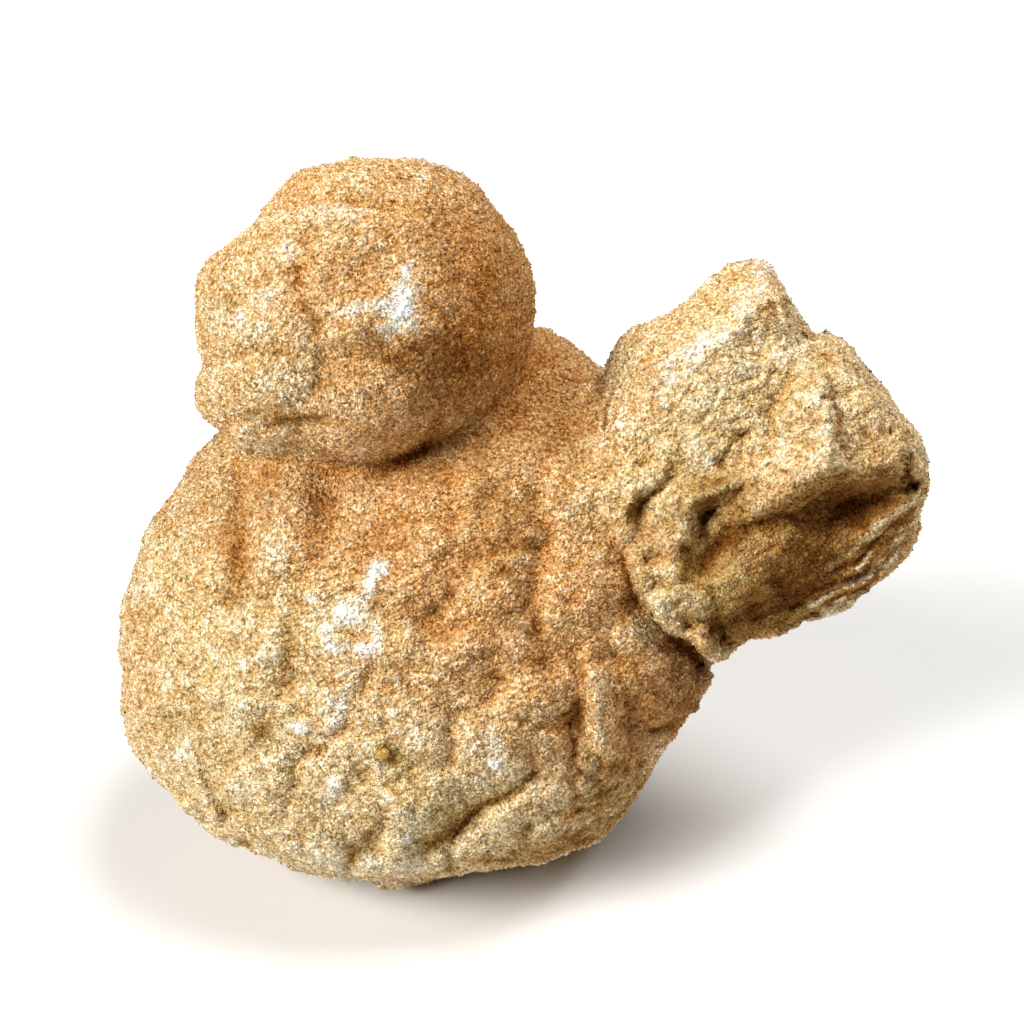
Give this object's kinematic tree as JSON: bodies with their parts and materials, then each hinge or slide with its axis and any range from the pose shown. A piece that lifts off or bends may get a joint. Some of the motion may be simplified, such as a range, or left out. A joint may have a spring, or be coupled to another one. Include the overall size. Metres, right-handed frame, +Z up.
{
  "type": "stromatolite",
  "caption": "Sandy concretion-like fossil mound: broad dome, round knob on top and an angular layered knob overhanging at one side, resting on a small flat spot.",
  "frame": {"origin": "middle of the flat spot that it rests on", "axes": "+Z up, -Y towards the front that the knobs face, +X towards the layered knob"},
  "size_m": [0.1154, 0.0744, 0.1046],
  "materials": {
    "sandstone": "rough cemented sand, granular, orange-tan to cream with chalky white patches"
  },
  "bodies": {
    "root": {"stromatolite": "sandstone"}
  },
  "joints": []
}
